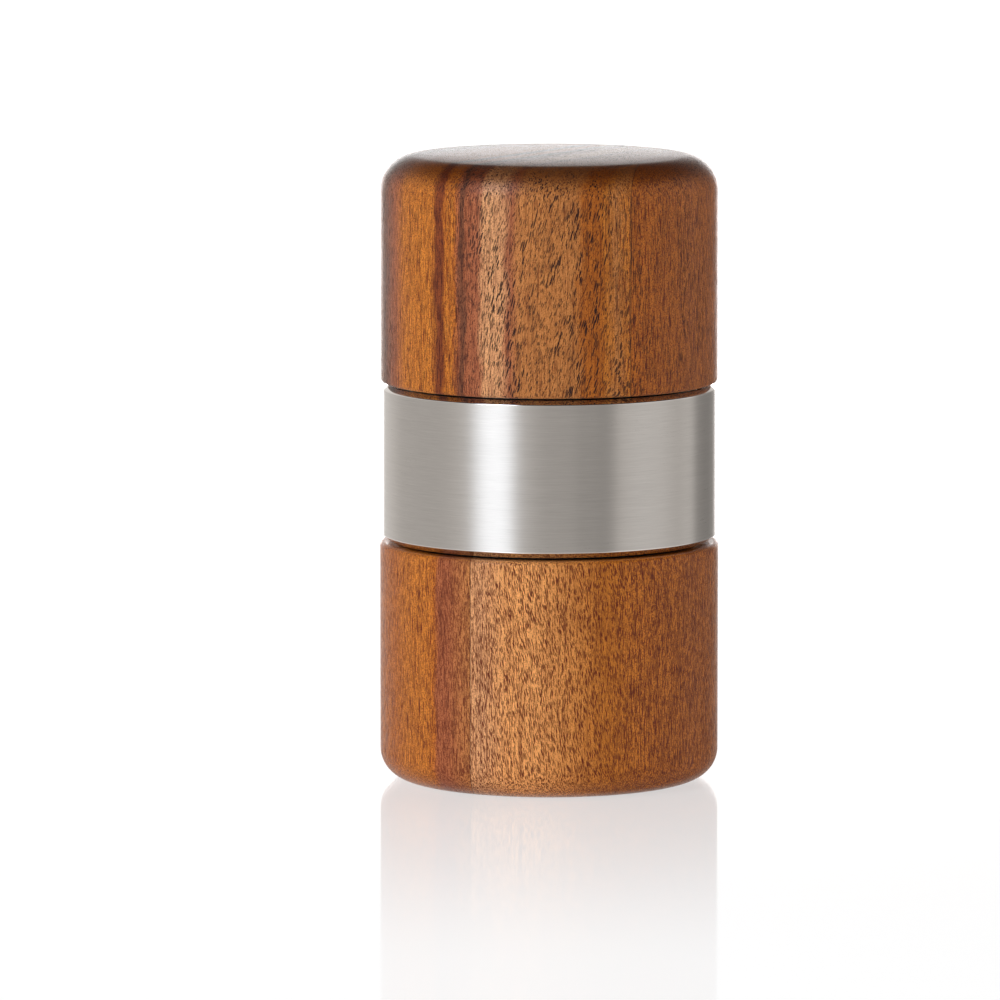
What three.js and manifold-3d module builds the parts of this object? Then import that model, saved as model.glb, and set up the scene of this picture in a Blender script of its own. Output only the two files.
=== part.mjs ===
// A spice mill worked by turning its wooden cap. A brushed steel band holds the grating works, and a wooden
// cup under it catches what is ground. Millimetres, +Z up, the origin at the centre of the foot on the table.
//
// The cup is the part that stands still. The works lift off it, and the head (cap, neck and bearing ring)
// pulls out of the works so that the chamber can be filled. In the head a spring pushes a spiked plate down
// onto what is in the chamber and drives it round on the fixed steel grater when the cap is turned.

import * as THREE from "three";
import { mergeVertices } from "three/addons/utils/BufferGeometryUtils.js";
import Module from "manifold-3d";

const wasm = await Module();
wasm.setup();

// Outside sizes
const bandRadius = 28.8;
const capProud = 0.2; // the wood stands this far out past the steel
const baseProud = 0.4;
const baseHeight = 41.3;
const bandHeight = 26.9;
const capHeight = 39.1;
const seamGap = 0.35; // the dark line between a wooden part and the band
const capTopRound = 6.0;
const baseFootRound = 5.2;
const woodSeamRound = 1.0;
const bandEdgeRound = 0.85;

// Clearances
const fitGap = 0.3; // a piece pushed or glued into another
const seatGap = 0.1; // one face lying on another
const runGap = 0.3; // round the neck, which turns in its bearing
const slideGap = 0.4; // round the six-sided stem, which slides in its sleeve

// Wooden cup and its liner
const baseWall = 3.2;
const baseFloor = 5.0;
const linerFloor = 1.5;
const linerCorner = 2.0;
const spigotWall = 1.7;
const spigotHeight = 5.6; // how far the liner reaches up into the works
const spigotGap = 1.1; // between the spigot and the works, bridged by the seal
const spigotLead = 0.5; // chamfer that guides the works onto the spigot

// Rubber seals
const sealWire = 0.8; // radius of the rubber ring's section
const sealHeight = 3.1; // the cup's seal, above the top of the cup

// Steel band and the plastic core inside it
const bandWall = 1.2;
const coreSlip = 0.2; // between the band and the core
const coreWall = 1.4;
const coreLowInset = 0.4; // the core starts this far above the band's lower edge
const coreTopInset = 0.95; // and ends this far below its upper edge
const webThickness = 1.8;
const webClearance = 0.5; // above the spigot
const ledgeWidth = 1.4;
const tubeWall = 1.9;

// Grater, the ring that clamps it and its screws
const graterThickness = 0.6;
const clampInset = 0.3; // the clamp ring lies this far above the core's lower edge
const clampThickness = 1.4;
const clampGap = 0.6; // to the liner's bore
const clampLip = 1.0; // how far the clamp ring reaches in under the grater
const screwEdge = 1.9; // from the screw circle to the clamp ring's edge
const bossRadius = 1.6;
const bossBite = 0.4; // how deep a boss runs into the chamber tube
const graterScrewClear = 0.7; // from the grater's edge to a screw
const toothRows = 3;
const rowSpacing = 4.4;
const toothSpacing = 5.2; // along a row
const toothMargin = 1.2; // from the outer row to the clamp ring's bore
const toothBase = 1.25; // radii of a tooth's foot, rim and hole
const toothRim = 0.95;
const toothHole = 0.75;
const toothHeight = 0.8;

// Countersunk screws, used for the grater, the neck and the cap
const screwShank = 0.8;
const screwHead = 1.5;
const screwHeadDepth = 0.8;
const screwPlay = 0.2;
const graterScrewLength = 4.6;
const neckScrewLength = 6.0;
const capScrewLength = 5.2;
const screwCount = 3;
const neckScrewPhase = 0.75; // of the spacing, counted from +X: between the ribs
const capScrewPhase = 0.25;

// Head: bearing ring, washer, neck and retaining clip
const bearingHeight = 6.2;
const bearingWidth = 4.4;
const bearingInset = 0.2; // below the core's upper edge
const bearingSealHeight = 3.1; // the head's seal, above the bearing ring's lower face
const washerThickness = 0.6;
const washerInset = 0.4;
const flangeThickness = 1.8;
const neckWall = 2.1;
const neckTail = 1.3; // the neck below its clip
const neckAbove = 0.5; // the neck's end to the chamber tube
const clipThickness = 0.8;
const clipDepth = 0.9; // of the groove in the neck
const clipProud = 1.6; // how far the clip stands out of the neck
const clipOpening = 0.6; // radians

// Wooden cap and its insert
const capWall = 3.4;
const capCrown = 5.4; // wood above the bore
const insertWall = 1.6;
const insertPlate = 1.7;
const insertBossRadius = 1.9;
const insertBossHeight = 9.0;
const neckScrewInset = 2.4; // from the insert's outside to the neck's screw circle
const ribCount = 6;
const ribThickness = 1.2;
const ribHeight = 8.0;
const capScrewCircle = 14.0;

// Presser: plate, spikes, stem, sleeve, stop pins and spring
const presserGap = 1.2; // to the chamber's wall
const presserPlate = 3.0;
const presserEdge = 0.6;
const spikeCount = 4;
const spikePhase = 0.5; // of the spacing, clear of the stop pins
const spikeCircle = 9.5;
const spikeRadius = 0.9;
const spikeLength = 2.6; // below the plate
const spikePoint = 1.8; // of that, the cone
const spikeRoot = 2.2; // held in the plate
const spikeClearance = 0.45; // over the grater's teeth
const stemHex = 7.1; // to a corner
const stemBore = 5.2;
const stemFloor = 3.0;
const stemInSleeve = 8.1; // length of stem in the sleeve when the presser is right down
const stemHeadroom = 0.7; // over the stem when it is pushed right in
const sleeveWall = 1.7;
const sleeveClearance = 0.5; // over the plate when it is pushed right in
const stopPinCount = 2;
const stopPinRadius = 0.8;
const stopPinHeight = 4.6; // above the sleeve's lower end
const stopPinReach = 5.6; // from the axis to the pin's inner end
const stopPinPlay = 0.15;
const plateScrewHead = 2.4;
const plateScrewHeadDepth = 1.6;
const plateScrewShank = 1.2;
const springRadius = 4.2;
const springWire = 0.4;
const springTurns = 14;
const springClosedTurns = 1; // at each end
const springClosedPitch = 1.3;
const springStub = 3.3;
const springStubLength = 3.5;

// Facets of the round shapes
const turnedSides = 64;
const innerSides = 36;
const sealSides = 6;
const pinSides = 12;
const toothSides = 6;
const roundSteps = 5;
const edgeSteps = 3;

// Levels, from the table up
const bandBottom = baseHeight + seamGap;
const bandTop = bandBottom + bandHeight;
const capBottom = bandTop + seamGap;
const capTop = capBottom + capHeight;
const linerBottom = baseFloor + fitGap;
const linerFloorTop = linerBottom + linerFloor;
const linerShoulder = baseHeight - seatGap;
const spigotTop = baseHeight + spigotHeight;
const coreBottom = bandBottom + coreLowInset;
const coreTop = bandTop - coreTopInset;
const webBottom = spigotTop + webClearance;
const webTop = webBottom + webThickness;
const clampBottom = coreBottom + clampInset;
const clampTop = clampBottom + clampThickness;
const graterBottom = clampTop + seatGap;
const graterTop = graterBottom + graterThickness;
const tubeBottom = graterTop + seatGap;
const toothTop = graterTop + toothHeight;
const bearingTop = coreTop - bearingInset;
const bearingBottom = bearingTop - bearingHeight;
const ledgeTop = bearingBottom - 2 * seatGap;
const clipTop = bearingBottom - 2 * seatGap;
const clipBottom = clipTop - clipThickness;
const neckBottom = clipBottom - neckTail;
const tubeTop = neckBottom - neckAbove;
const washerBottom = bearingTop + seatGap;
const washerTop = washerBottom + washerThickness;
const flangeBottom = washerTop + seatGap;
const flangeTop = flangeBottom + flangeThickness;
const insertBottom = flangeTop + seatGap;
const capBoreTop = capTop - capCrown;
const insertTop = capBoreTop - fitGap;
const insertCeiling = insertTop - insertPlate;
const spikeTip = toothTop + spikeClearance;
const plateBottom = spikeTip + spikeLength;
const plateTop = plateBottom + presserPlate;
const presserRoom = insertCeiling - stemHeadroom - plateTop - sleeveClearance - stemInSleeve;
const presserTravel = presserRoom / 2; // the stem and its sleeve share the height that is left
const sleeveBottom = plateTop + presserTravel + sleeveClearance;
const stemBottom = plateTop + seatGap;
const stemTop = sleeveBottom + stemInSleeve;
const stemBoreBottom = stemBottom + stemFloor;
const stopPinLevel = sleeveBottom + stopPinHeight;

// Radii, from the outside in
const capRadius = bandRadius + capProud;
const baseRadius = bandRadius + baseProud;
const baseBore = baseRadius - baseWall;
const linerRadius = baseBore - fitGap;
const bandBore = bandRadius - bandWall;
const coreRadius = bandBore - coreSlip;
const coreBore = coreRadius - coreWall;
const spigotRadius = coreBore - spigotGap;
const linerBore = spigotRadius - spigotWall;
const clampRadius = linerBore - clampGap;
const graterScrewCircle = clampRadius - screwEdge;
const tubeRadius = graterScrewCircle - bossRadius + bossBite;
const chamberRadius = tubeRadius - tubeWall;
const graterRadius = graterScrewCircle - screwShank - graterScrewClear;
const clampBore = chamberRadius - clampLip;
const ledgeBore = coreBore - ledgeWidth;
const bearingRadius = coreBore - fitGap;
const bearingBore = bearingRadius - bearingWidth;
const neckRadius = bearingBore - runGap;
const neckBore = neckRadius - neckWall;
const clipGrooveRadius = neckRadius - clipDepth;
const capBore = capRadius - capWall;
const insertRadius = capBore - fitGap;
const insertBore = insertRadius - insertWall;
const neckScrewCircle = insertRadius - neckScrewInset;
const presserRadius = chamberRadius - presserGap;
const sleeveHex = stemHex + slideGap;
const sleeveRadius = sleeveHex + sleeveWall;
const sealGroove = 2 * (sealWire + fitGap); // width of a seal's groove
const baseSealRadius = coreBore - fitGap - sealWire; // centre line of the rubber ring
const headSealRadius = coreBore - seatGap - sealWire;

// Finishes
const finish = (color, roughness, metalness) =>
  new THREE.MeshStandardMaterial({ color, roughness, metalness });
const wood = finish(0xb4703a, 0.5, 0);
const brushedSteel = finish(0xb4b2ae, 0.35, 1);
const brightSteel = finish(0xcfd0d2, 0.2, 1);
const blackPlastic = finish(0x1c1c1e, 0.5, 0);
const palePlastic = finish(0xe8e4da, 0.45, 0);
const rubber = finish(0x262628, 0.8, 0);

const turn = 2 * Math.PI;
const point = (radius, level) => new THREE.Vector2(radius, level);

// A closed solid from a three.js geometry: positions only, shared vertices merged, flat triangles dropped.
function solid(geometry) {
  const bare = new THREE.BufferGeometry();
  bare.setAttribute("position", geometry.getAttribute("position"));
  if (geometry.index) bare.setIndex(geometry.index);
  const merged = mergeVertices(bare, 1e-4);
  const corners = merged.index.array;
  const kept = [];
  for (let i = 0; i < corners.length; i += 3) {
    const [a, b, c] = [corners[i], corners[i + 1], corners[i + 2]];
    if (a !== b && b !== c && c !== a) kept.push(a, b, c);
  }
  const mesh = new wasm.Mesh({
    numProp: 3,
    vertProperties: merged.getAttribute("position").array,
    triVerts: new Uint32Array(kept),
  });
  return new wasm.Manifold(mesh);
}

// A three.js geometry with a solid's vertices and triangles.
function geometryOf(made) {
  const mesh = made.getMesh();
  const geometry = new THREE.BufferGeometry();
  geometry.setAttribute("position", new THREE.BufferAttribute(mesh.vertProperties, 3));
  geometry.setIndex(new THREE.BufferAttribute(mesh.triVerts, 1));
  geometry.computeVertexNormals();
  return geometry;
}

// Points of a round corner in a profile, angles in quarter turns from the outward direction.
function corner(centreRadius, centreLevel, radius, from, to, steps) {
  const points = [];
  for (let i = 0; i <= steps; i += 1) {
    const angle = ((from + ((to - from) * i) / steps) * Math.PI) / 2;
    points.push(point(centreRadius + radius * Math.cos(angle), centreLevel + radius * Math.sin(angle)));
  }
  return points;
}

// A profile spun round Z. It starts and ends on the axis, or is a ring that closes on itself.
function spun(profile, sides) {
  const ring = profile[0].x > 0;
  const points = ring ? [...profile, profile[0].clone()] : profile;
  return new THREE.LatheGeometry(points, sides).rotateX(Math.PI / 2);
}

const spunSolid = (profile, sides) => solid(spun(profile, sides));

// An upright round bar, on the axis unless it is moved.
const bar = (radius, bottom, top, sides) =>
  spunSolid([point(0, bottom), point(radius, bottom), point(radius, top), point(0, top)], sides);

// An upright six-sided bar with flats facing along X.
function hexBar(toCorner, bottom, top) {
  const outline = new THREE.Shape();
  for (let i = 0; i < 6; i += 1) {
    const angle = ((i + 0.5) / 6) * turn;
    const place = [toCorner * Math.cos(angle), toCorner * Math.sin(angle)];
    if (i === 0) outline.moveTo(...place);
    else outline.lineTo(...place);
  }
  const prism = new THREE.ExtrudeGeometry(outline, { depth: top - bottom, bevelEnabled: false });
  return solid(prism.translate(0, 0, bottom));
}

// A box given by its low and high corners.
function block(low, high) {
  const size = low.map((value, axis) => high[axis] - value);
  const middle = low.map((value, axis) => (value + high[axis]) / 2);
  return solid(new THREE.BoxGeometry(...size).translate(...middle));
}

// Copies of a solid moved out along X and spread evenly round the axis.
function spread(made, radius, count, phase = 0) {
  const copies = [];
  for (let i = 0; i < count; i += 1) {
    const degrees = (360 * (i + phase)) / count;
    copies.push(made.translate([radius, 0, 0]).rotate([0, 0, degrees]));
  }
  return copies;
}

const addAll = (made, pieces) => pieces.reduce((whole, piece) => whole.add(piece), made);
const cutAll = (made, pieces) => pieces.reduce((whole, piece) => whole.subtract(piece), made);

// A countersunk screw with its head's face at the given level, pointing up.
const screwProfile = (face, length, play) => [
  point(0, face - play),
  point(screwHead + play, face - play),
  point(screwHead + play, face),
  point(screwShank + play, face + screwHeadDepth),
  point(screwShank + play, face + length + play),
  point(0, face + length + play),
];
const screwBody = (face, length) => {
  const [bottom, , edge, ...rest] = screwProfile(face, length, 0);
  return spunSolid([bottom, edge, ...rest], pinSides);
};
const screwHole = (face, length) => spunSolid(screwProfile(face, length, screwPlay), pinSides);

// Turned wooden cup, open at the top.
function makeBaseCup() {
  const edge = baseRadius - baseFootRound;
  const lip = baseRadius - woodSeamRound;
  return spunSolid(
    [
      point(0, 0),
      ...corner(edge, baseFootRound, baseFootRound, -1, 0, roundSteps),
      ...corner(lip, baseHeight - woodSeamRound, woodSeamRound, 0, 1, edgeSteps),
      point(baseBore, baseHeight),
      point(baseBore, baseFloor),
      point(0, baseFloor),
    ],
    turnedSides,
  );
}

// Plastic cup glued into the wood. Its rim stands up as a spigot with a groove for the seal.
function makeBaseLiner() {
  const grooveMiddle = baseHeight + sealHeight;
  const grooveRadius = baseSealRadius - sealWire - fitGap;
  return spunSolid(
    [
      point(0, linerBottom),
      point(linerRadius, linerBottom),
      point(linerRadius, linerShoulder),
      point(spigotRadius, linerShoulder),
      point(spigotRadius, grooveMiddle - sealGroove / 2),
      point(grooveRadius, grooveMiddle - sealGroove / 2),
      point(grooveRadius, grooveMiddle + sealGroove / 2),
      point(spigotRadius, grooveMiddle + sealGroove / 2),
      point(spigotRadius, spigotTop - spigotLead),
      point(spigotRadius - spigotLead, spigotTop),
      point(linerBore, spigotTop),
      ...corner(linerBore - linerCorner, linerFloorTop + linerCorner, linerCorner, 0, -1, edgeSteps),
      point(0, linerFloorTop),
    ],
    innerSides,
  );
}

const sealRing = (radius, level) =>
  solid(new THREE.TorusGeometry(radius, sealWire, sealSides, innerSides).translate(0, 0, level));

// Steel sleeve with rounded edges.
function makeSteelBand() {
  const edge = bandRadius - bandEdgeRound;
  return spunSolid(
    [
      point(bandBore, bandBottom),
      ...corner(edge, bandBottom + bandEdgeRound, bandEdgeRound, -1, 0, edgeSteps),
      ...corner(edge, bandTop - bandEdgeRound, bandEdgeRound, 0, 1, edgeSteps),
      point(bandBore, bandTop),
    ],
    turnedSides,
  );
}

// One moulding: the outer wall, the chamber tube inside it and the web that joins them.
function makeCore() {
  const walls = spunSolid(
    [
      point(chamberRadius, tubeBottom),
      point(tubeRadius, tubeBottom),
      point(tubeRadius, webBottom),
      point(coreBore, webBottom),
      point(coreBore, coreBottom),
      point(coreRadius, coreBottom),
      point(coreRadius, coreTop),
      point(coreBore, coreTop),
      point(coreBore, ledgeTop),
      point(ledgeBore, ledgeTop),
      point(ledgeBore, webTop),
      point(tubeRadius, webTop),
      point(tubeRadius, tubeTop),
      point(chamberRadius, tubeTop),
    ],
    innerSides,
  );
  const boss = bar(bossRadius, tubeBottom, webBottom + webThickness / 2, pinSides);
  const pilot = screwHole(clampBottom, graterScrewLength);
  const full = addAll(walls, spread(boss, graterScrewCircle, screwCount));
  return cutAll(full, spread(pilot, graterScrewCircle, screwCount));
}

// Thin steel disc punched up into rings of sharp-rimmed holes.
function makeGrater() {
  const disc = bar(graterRadius, graterBottom, graterTop, innerSides);
  const tooth = spunSolid(
    [
      point(0, graterBottom + graterThickness / 2),
      point(toothBase, graterBottom + graterThickness / 2),
      point(toothBase, graterTop),
      point(toothRim, toothTop),
      point(0, toothTop),
    ],
    toothSides,
  );
  const hole = bar(toothHole, graterBottom - graterThickness, toothTop + toothHeight, toothSides);
  let made = disc;
  for (let row = 0; row < toothRows; row += 1) {
    const radius = clampBore - toothMargin - toothBase - row * rowSpacing;
    const count = Math.round((turn * radius) / toothSpacing);
    made = addAll(made, spread(tooth, radius, count));
    made = cutAll(made, spread(hole, radius, count));
  }
  return made;
}

// Steel ring that clamps the grater to the chamber tube.
function makeClampRing() {
  const ring = spunSolid(
    [
      point(clampBore, clampBottom),
      point(clampRadius, clampBottom),
      point(clampRadius, clampTop),
      point(clampBore, clampTop),
    ],
    innerSides,
  );
  return cutAll(ring, spread(screwHole(clampBottom, graterScrewLength), graterScrewCircle, screwCount));
}

// Plastic ring that pushes into the core. The neck turns in its bore.
function makeBearingRing() {
  const grooveMiddle = bearingBottom + bearingSealHeight;
  const grooveRadius = headSealRadius - sealWire - fitGap;
  return spunSolid(
    [
      point(bearingBore, bearingBottom),
      point(bearingRadius, bearingBottom),
      point(bearingRadius, grooveMiddle - sealGroove / 2),
      point(grooveRadius, grooveMiddle - sealGroove / 2),
      point(grooveRadius, grooveMiddle + sealGroove / 2),
      point(bearingRadius, grooveMiddle + sealGroove / 2),
      point(bearingRadius, bearingTop),
      point(bearingBore, bearingTop),
    ],
    innerSides,
  );
}

const makeWasher = () =>
  spunSolid(
    [
      point(bearingBore + washerInset, washerBottom),
      point(bearingRadius - washerInset, washerBottom),
      point(bearingRadius - washerInset, washerTop),
      point(bearingBore + washerInset, washerTop),
    ],
    innerSides,
  );

// Flange and neck that carry the cap in the bearing ring.
function makeNeck() {
  const ring = spunSolid(
    [
      point(neckBore, neckBottom),
      point(neckRadius, neckBottom),
      point(neckRadius, clipBottom - seatGap),
      point(clipGrooveRadius, clipBottom - seatGap),
      point(clipGrooveRadius, clipTop + seatGap / 2),
      point(neckRadius, clipTop + seatGap / 2),
      point(neckRadius, flangeBottom),
      point(insertRadius, flangeBottom),
      point(insertRadius, flangeTop),
      point(neckBore, flangeTop),
    ],
    innerSides,
  );
  const hole = screwHole(flangeBottom, neckScrewLength);
  return cutAll(ring, spread(hole, neckScrewCircle, screwCount, neckScrewPhase));
}

// Spring steel clip with an opening, sprung into the neck's groove.
function makeClip() {
  const inner = clipGrooveRadius + seatGap;
  const outer = neckRadius + clipProud;
  const outline = new THREE.Shape();
  outline.absarc(0, 0, outer, clipOpening / 2, turn - clipOpening / 2, false);
  outline.absarc(0, 0, inner, turn - clipOpening / 2, clipOpening / 2, true);
  const options = { depth: clipThickness, bevelEnabled: false, curveSegments: innerSides / 2 };
  return solid(new THREE.ExtrudeGeometry(outline, options).translate(0, 0, clipBottom));
}

// Plastic insert of the cap: a shell, a ceiling with ribs, and the sleeve that drives the stem.
function makeCapInsert() {
  const shell = spunSolid(
    [
      point(0, insertCeiling),
      point(insertBore, insertCeiling),
      point(insertBore, insertBottom),
      point(insertRadius, insertBottom),
      point(insertRadius, insertTop),
      point(0, insertTop),
    ],
    innerSides,
  );
  const ceilingMiddle = (insertCeiling + insertTop) / 2;
  const rib = block(
    [sleeveHex, -ribThickness / 2, insertCeiling - ribHeight],
    [insertRadius - insertWall / 2, ribThickness / 2, ceilingMiddle],
  );
  const boss = bar(insertBossRadius, insertBottom, insertBottom + insertBossHeight, pinSides);
  const sleeve = bar(sleeveRadius, sleeveBottom, ceilingMiddle, innerSides / 2);
  const stub = bar(springStub, insertCeiling - springStubLength, ceilingMiddle, pinSides);
  const full = addAll(shell, [
    sleeve,
    ...spread(rib, 0, ribCount),
    ...spread(boss, neckScrewCircle, screwCount, neckScrewPhase),
  ]);
  const bored = full.subtract(hexBar(sleeveHex, sleeveBottom - 1, insertCeiling)).add(stub);
  return cutAll(bored, [
    ...spread(screwHole(flangeBottom, neckScrewLength), neckScrewCircle, screwCount, neckScrewPhase),
    ...spread(screwHole(insertCeiling, capScrewLength), capScrewCircle, screwCount, capScrewPhase),
    ...spread(stopPin(stopPinPlay), 0, stopPinCount),
  ]);
}

// Turned wooden cap, open at the bottom.
function makeTopCap() {
  const lip = capRadius - woodSeamRound;
  const crown = capRadius - capTopRound;
  const cap = spunSolid(
    [
      point(0, capBoreTop),
      point(capBore, capBoreTop),
      point(capBore, capBottom),
      ...corner(lip, capBottom + woodSeamRound, woodSeamRound, -1, 0, edgeSteps),
      ...corner(crown, capTop - capTopRound, capTopRound, 0, 1, roundSteps),
      point(0, capTop),
    ],
    turnedSides,
  );
  const pilots = spread(screwHole(insertCeiling, capScrewLength), capScrewCircle, screwCount, capScrewPhase);
  return cutAll(cap, pilots);
}

// A pin through the sleeve's wall into the stem's slot, lying along X.
function stopPin(play) {
  const outer = sleeveRadius + play;
  const length = outer - stopPinReach;
  const rod = new THREE.CylinderGeometry(stopPinRadius + play, stopPinRadius + play, length, pinSides);
  return solid(rod.rotateZ(Math.PI / 2).translate(stopPinReach + length / 2, 0, stopPinLevel));
}

// Six-sided hollow stem with a floor and two long slots for the stop pins.
function makeStem() {
  const halfSlot = stopPinRadius + stopPinPlay;
  const slot = block(
    [(stemBore + springRadius + springWire) / 2, -halfSlot, stopPinLevel - presserTravel - halfSlot],
    [stemHex + 1, halfSlot, stopPinLevel + halfSlot],
  );
  return cutAll(hexBar(stemHex, stemBottom, stemTop), [
    bar(stemBore, stemBoreBottom, stemTop + 1, innerSides / 2),
    bar(plateScrewShank + screwPlay, stemBottom - 1, stemBoreBottom + 1, pinSides),
    ...spread(slot, 0, stopPinCount),
  ]);
}

// Plate with sockets for the spikes and a sunk hole for its screw.
function makePlate() {
  const disc = spunSolid(
    [
      point(0, plateBottom),
      point(presserRadius - presserEdge, plateBottom),
      point(presserRadius, plateBottom + presserEdge),
      point(presserRadius, plateTop - presserEdge),
      point(presserRadius - presserEdge, plateTop),
      point(0, plateTop),
    ],
    innerSides,
  );
  const socket = bar(spikeRadius + screwPlay, plateBottom - 1, plateBottom + spikeRoot + screwPlay, pinSides);
  return cutAll(disc, [
    ...spread(socket, spikeCircle, spikeCount, spikePhase),
    bar(plateScrewHead + screwPlay, plateBottom - 1, plateBottom + plateScrewHeadDepth + screwPlay, pinSides),
    bar(plateScrewShank + screwPlay, plateBottom, plateTop + 1, pinSides),
  ]);
}

// Pointed steel spike, on the axis.
const makeSpike = () =>
  spunSolid(
    [
      point(0, spikeTip),
      point(spikeRadius, spikeTip + spikePoint),
      point(spikeRadius, plateBottom + spikeRoot),
      point(0, plateBottom + spikeRoot),
    ],
    pinSides,
  );

const makePlateScrew = () =>
  spunSolid(
    [
      point(0, plateBottom),
      point(plateScrewHead, plateBottom),
      point(plateScrewHead, plateBottom + plateScrewHeadDepth),
      point(plateScrewShank, plateBottom + plateScrewHeadDepth),
      point(plateScrewShank, stemBoreBottom - screwPlay),
      point(0, stemBoreBottom - screwPlay),
    ],
    pinSides,
  );

// Coil spring between the stem's floor and the ceiling of the insert, its end turns closer than the rest.
function makeSpring() {
  const stepsPerTurn = 8;
  const sides = 5;
  const bottom = stemBoreBottom + seatGap + springWire;
  const rise = insertCeiling - seatGap - springWire - bottom;
  const openTurns = springTurns - 2 * springClosedTurns;
  const openPitch = (rise - 2 * springClosedTurns * springClosedPitch) / openTurns;
  const level = (turns) => {
    const low = Math.min(turns, springClosedTurns);
    const high = Math.max(turns - springTurns + springClosedTurns, 0);
    return bottom + (low + high) * springClosedPitch + (turns - low - high) * openPitch;
  };
  const steps = Math.round(springTurns * stepsPerTurn);
  const positions = [];
  const triangles = [];
  const centres = [];
  for (let i = 0; i <= steps; i += 1) {
    const turns = (i * springTurns) / steps;
    const angle = turns * turn;
    const out = new THREE.Vector3(Math.cos(angle), Math.sin(angle), 0);
    const centre = out.clone().multiplyScalar(springRadius).setZ(level(turns));
    centres.push(centre);
    for (let j = 0; j < sides; j += 1) {
      const round = (j / sides) * turn;
      const place = centre.clone().addScaledVector(out, springWire * Math.cos(round));
      positions.push(place.x, place.y, place.z + springWire * Math.sin(round));
    }
  }
  for (let i = 0; i < steps; i += 1) {
    for (let j = 0; j < sides; j += 1) {
      const here = i * sides + j;
      const beside = i * sides + ((j + 1) % sides);
      triangles.push(here, here + sides, beside, beside, here + sides, beside + sides);
    }
  }
  const last = steps * sides;
  for (let j = 1; j < sides - 1; j += 1) {
    triangles.push(0, j, j + 1, last, last + j + 1, last + j);
  }
  const tube = new THREE.BufferGeometry();
  tube.setAttribute("position", new THREE.Float32BufferAttribute(positions, 3));
  tube.setIndex(triangles);
  const apart = centres
    .slice(stepsPerTurn)
    .map((centre, i) => centre.distanceTo(centres[i]) - 2 * springWire);
  console.log("least gap between the spring's turns: " + Math.min(...apart).toFixed(2) + " mm");
  return solid(tube);
}

const mill = new THREE.Group();

function place(name, made, material) {
  const mesh = new THREE.Mesh(geometryOf(made), material);
  mesh.name = name;
  mill.add(mesh);
}

// One named node for each copy of a repeated piece.
function placeEach(name, copies, material) {
  copies.forEach((copy, i) => place(name + "_" + (i + 1), copy, material));
}

// Cup
place("base_cup", makeBaseCup(), wood);
place("base_liner", makeBaseLiner(), blackPlastic);
place("base_seal", sealRing(baseSealRadius, baseHeight + sealHeight), rubber);

// Grating works
place("steel_band", makeSteelBand(), brushedSteel);
place("works_core", makeCore(), blackPlastic);
place("grater_disc", makeGrater(), brightSteel);
place("grater_clamp_ring", makeClampRing(), brightSteel);
placeEach(
  "grater_screw",
  spread(screwBody(clampBottom, graterScrewLength), graterScrewCircle, screwCount),
  brightSteel,
);

// Bearing of the head
place("bearing_ring", makeBearingRing(), palePlastic);
place("head_seal", sealRing(headSealRadius, bearingBottom + bearingSealHeight), rubber);
place("glide_washer", makeWasher(), palePlastic);

// Turning head
place("top_cap", makeTopCap(), wood);
place("cap_insert", makeCapInsert(), blackPlastic);
place("neck_ring", makeNeck(), blackPlastic);
place("retaining_clip", makeClip(), brightSteel);
placeEach(
  "neck_screw",
  spread(screwBody(flangeBottom, neckScrewLength), neckScrewCircle, screwCount, neckScrewPhase),
  brightSteel,
);
placeEach(
  "cap_screw",
  spread(screwBody(insertCeiling, capScrewLength), capScrewCircle, screwCount, capScrewPhase),
  brightSteel,
);
placeEach("stop_pin", spread(stopPin(0), 0, stopPinCount), brightSteel);
place("presser_spring", makeSpring(), brightSteel);

// Presser
place("presser_stem", makeStem(), palePlastic);
place("presser_plate", makePlate(), palePlastic);
placeEach("presser_spike", spread(makeSpike(), spikeCircle, spikeCount, spikePhase), brightSteel);
place("presser_screw", makePlateScrew(), brightSteel);

export default mill;
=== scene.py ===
import math

import bpy
import numpy as np
from bpy.props import FloatProperty, FloatVectorProperty, IntProperty, PointerProperty
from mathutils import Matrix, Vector


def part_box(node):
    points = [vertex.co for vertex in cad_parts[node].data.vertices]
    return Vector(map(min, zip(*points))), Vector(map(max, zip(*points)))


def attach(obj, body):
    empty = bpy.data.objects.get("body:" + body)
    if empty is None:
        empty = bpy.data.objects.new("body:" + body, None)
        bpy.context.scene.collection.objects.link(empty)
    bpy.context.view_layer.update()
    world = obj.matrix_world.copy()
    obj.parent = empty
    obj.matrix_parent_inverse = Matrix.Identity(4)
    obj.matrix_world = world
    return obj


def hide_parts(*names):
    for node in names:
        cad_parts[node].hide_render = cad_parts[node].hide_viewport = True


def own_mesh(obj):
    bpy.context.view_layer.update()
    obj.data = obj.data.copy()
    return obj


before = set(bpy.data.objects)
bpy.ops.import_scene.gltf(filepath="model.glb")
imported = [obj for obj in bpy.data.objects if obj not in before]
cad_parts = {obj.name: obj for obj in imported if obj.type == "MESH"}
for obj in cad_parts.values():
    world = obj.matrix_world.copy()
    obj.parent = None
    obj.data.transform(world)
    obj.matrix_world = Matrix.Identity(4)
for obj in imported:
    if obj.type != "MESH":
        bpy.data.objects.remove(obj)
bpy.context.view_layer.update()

bl_info = {
    "name": "Spice Mill",
    "version": (1, 0, 0),
    "blender": (4, 5, 0),
    "location": "View3D > Sidebar > Mill",
    "description": "Dresses the frame of a spice mill in turned acacia, brushed steel and moulded plastic",
    "category": "Object",
}

MM = 0.001

# Material slots, as the record names them
WOOD, BAND, BRIGHT = "acacia_wood", "brushed_band", "bright_steel"
BLACK, PALE, RUBBER = "black_plastic", "pale_plastic", "seal_rubber"


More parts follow.
